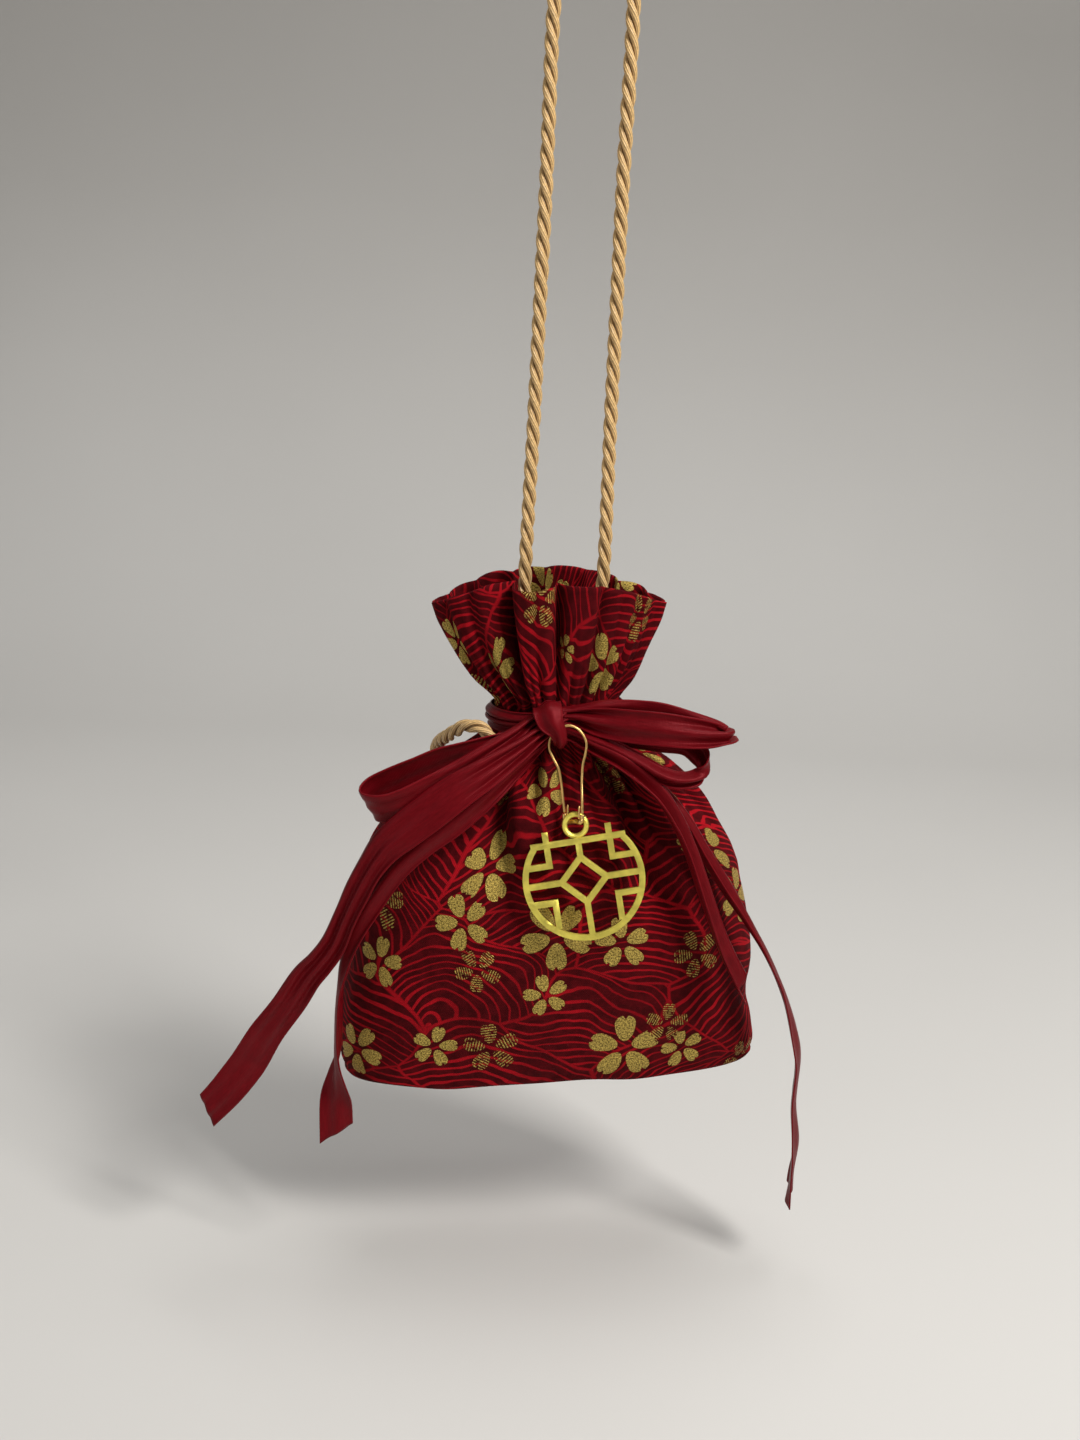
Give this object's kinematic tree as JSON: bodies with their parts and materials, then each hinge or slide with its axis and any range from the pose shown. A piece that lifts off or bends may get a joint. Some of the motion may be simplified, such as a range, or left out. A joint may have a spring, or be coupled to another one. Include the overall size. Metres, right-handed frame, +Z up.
{
  "type": "drawstring pouch",
  "caption": "Small gathered cotton drawstring pouch on a twisted cord loop, with satin ribbons in a bow and a bulb pin carrying a round openwork pendant.",
  "frame": {"origin": "top of the carry cord's loop, where a hand or hook holds it", "axes": "+Z up along the plumb cord, -Y towards the bow side, +X to the right as seen from the bow side"},
  "size_m": [0.1482, 0.0592, 0.2917],
  "materials": {
    "printed_cotton": "dark wine red cotton with red wave lines and gold glitter blossoms",
    "satin_ribbon": "deep red satin with a soft sheen",
    "gold_cord": "three-ply twisted rayon cord, pale gold",
    "pin_gold": "polished gold-coloured steel wire",
    "pendant_gold": "satin gold plating with brighter edges"
  },
  "bodies": {
    "root": {"pouch": "printed_cotton", "carry_cord": "gold_cord", "draw_cord_tail": "gold_cord", "draw_cord_end_knot": "gold_cord", "ribbon_long": "satin_ribbon", "ribbon_short": "satin_ribbon"},
    "pin": {"pin_wire": "pin_gold", "pin_clasp": "pin_gold"},
    "pendant": {"pendant": "pendant_gold"}
  },
  "joints": [
    {"name": "pin_swing", "type": "hinge", "parent": "root", "child": "pin", "pos_m": [0.00178, -0.017, -0.17339], "axis": [-0.9986, 0, -0.0523], "range_deg": [0, 50]},
    {"name": "pendant_swing", "type": "hinge", "parent": "pin", "child": "pendant", "pos_m": [0.00645, -0.02139, -0.19382], "axis": [0.0109, 0.9781, -0.2076], "range_deg": [-25, 35]}
  ]
}
